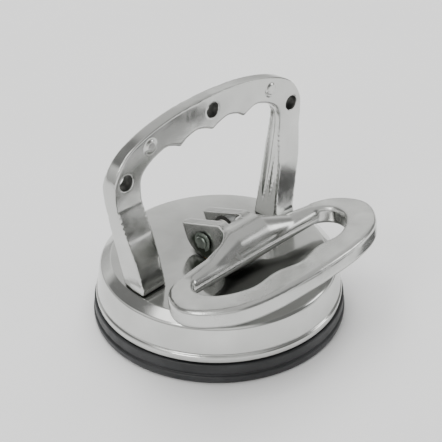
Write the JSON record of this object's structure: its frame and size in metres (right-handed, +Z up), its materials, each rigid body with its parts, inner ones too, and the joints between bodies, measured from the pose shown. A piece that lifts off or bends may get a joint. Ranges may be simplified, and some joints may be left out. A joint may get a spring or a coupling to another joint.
{
  "type": "vacuum suction cup",
  "caption": "Hand-operated vacuum lifting cup: rubber disc under a cast dome, upright carrying handle and over-centre cam lever.",
  "frame": {"origin": "centre of the rubber pad's flat suction face", "axes": "+Z up, away from the gripped surface, along the stud; +X along the handle; -Y towards the lever's ring at rest"},
  "size_m": [0.1184, 0.1214, 0.1095],
  "materials": {
    "polished_aluminium": "mirror polished casting with fine buffing marks",
    "black_rubber": "satin",
    "plain_steel": "turned steel",
    "black_oxide_steel": "black oxide",
    "bronze": "sintered bronze",
    "white_nylon": "matte"
  },
  "bodies": {
    "base": {"rubber_pad": "black_rubber", "body_casting": "polished_aluminium", "handle_casting": "polished_aluminium", "stud_guide_bush": "bronze", "return_spring": "plain_steel", "handle_screw_left": "black_oxide_steel", "handle_screw_right": "black_oxide_steel", "screw_washer_left": "plain_steel", "screw_washer_right": "plain_steel"},
    "stud": {"pad_insert_plate": "plain_steel", "centre_stud": "plain_steel", "spring_seat": "plain_steel", "stud_lock_washer": "plain_steel", "stud_jam_nut": "black_oxide_steel", "hinge_pin": "plain_steel", "pin_clip_left": "plain_steel", "pin_clip_right": "plain_steel", "eye_washer_left": "white_nylon", "eye_washer_right": "white_nylon"},
    "lever": {"lever_casting": "polished_aluminium"}
  },
  "joints": [
    {"name": "stud_lift", "type": "slide", "parent": "base", "child": "stud", "axis": [0, 0, 1], "range_m": [0, 0.00302], "deforming": ["return_spring"]},
    {"name": "lever_swing", "type": "hinge", "parent": "stud", "child": "lever", "pos_m": [0, 0, 0.04], "axis": [-1, 0, 0], "range_deg": [0, 68]}
  ],
  "couplings": [
    {"joint": "stud_lift", "follows": "lever_swing", "m_per_rad": 0.0025277}
  ]
}
